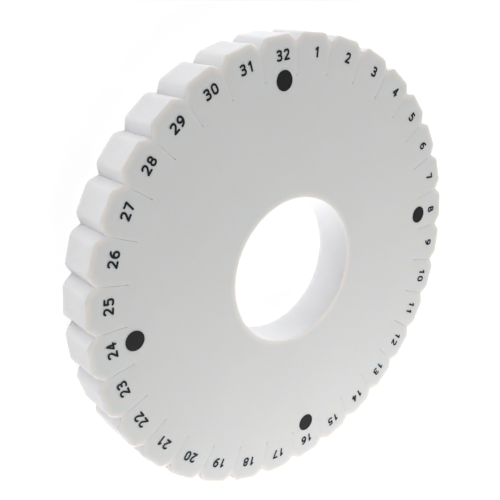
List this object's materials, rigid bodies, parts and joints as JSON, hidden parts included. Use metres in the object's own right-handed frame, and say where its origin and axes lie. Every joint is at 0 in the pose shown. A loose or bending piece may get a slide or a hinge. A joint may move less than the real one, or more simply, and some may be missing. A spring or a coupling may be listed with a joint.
{
  "type": "kumihimo disk",
  "caption": "Round white foam braiding disk with a centre hole, notched and slit rim tabs, and printed tab numbers and dots.",
  "frame": {"origin": "centre of the flat back face, on the axis of the centre hole", "axes": "+Z along the hole's axis, out of the printed front face; +Y towards the tab numbered 32; +X towards the tab numbered 8"},
  "size_m": [0.108, 0.108, 0.01],
  "materials": {
    "foam": "matte",
    "ink": "matte"
  },
  "bodies": {
    "root": {"foam_disk": "foam", "number_01": "ink", "number_02": "ink", "number_03": "ink", "number_04": "ink", "number_05": "ink", "number_06": "ink", "number_07": "ink", "number_08": "ink", "number_09": "ink", "number_10": "ink", "number_11": "ink", "number_12": "ink", "number_13": "ink", "number_14": "ink", "number_15": "ink", "number_16": "ink", "number_17": "ink", "number_18": "ink", "number_19": "ink", "number_20": "ink", "number_21": "ink", "number_22": "ink", "number_23": "ink", "number_24": "ink", "number_25": "ink", "number_26": "ink", "number_27": "ink", "number_28": "ink", "number_29": "ink", "number_30": "ink", "number_31": "ink", "number_32": "ink", "dot_08": "ink", "dot_16": "ink", "dot_24": "ink", "dot_32": "ink"}
  },
  "joints": []
}
